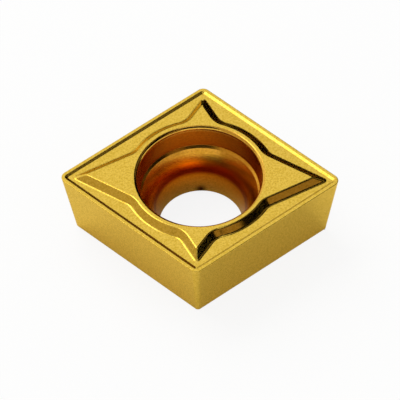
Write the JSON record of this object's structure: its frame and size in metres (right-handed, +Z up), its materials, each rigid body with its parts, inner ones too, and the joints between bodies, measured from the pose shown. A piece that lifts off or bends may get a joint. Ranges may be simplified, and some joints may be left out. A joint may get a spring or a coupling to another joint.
{
  "type": "carbide insert",
  "caption": "Rhombic 80 degree turning insert with leaning flanks, a moulded chip breaker round a star-shaped boss, and a countersunk screw hole; gold-coated.",
  "frame": {"origin": "middle of the flat seating face, on the axis of the screw hole", "axes": "+Z up the screw hole, from the seating face to the cutting edges; the two acute corners lie on X and the two obtuse corners on Y"},
  "size_m": [0.0144, 0.0122, 0.0042],
  "materials": {
    "coated_carbide": "gold titanium nitride coating over sintered carbide, satin, with a fine blasted grain"
  },
  "bodies": {
    "root": {"insert": "coated_carbide"}
  },
  "joints": []
}
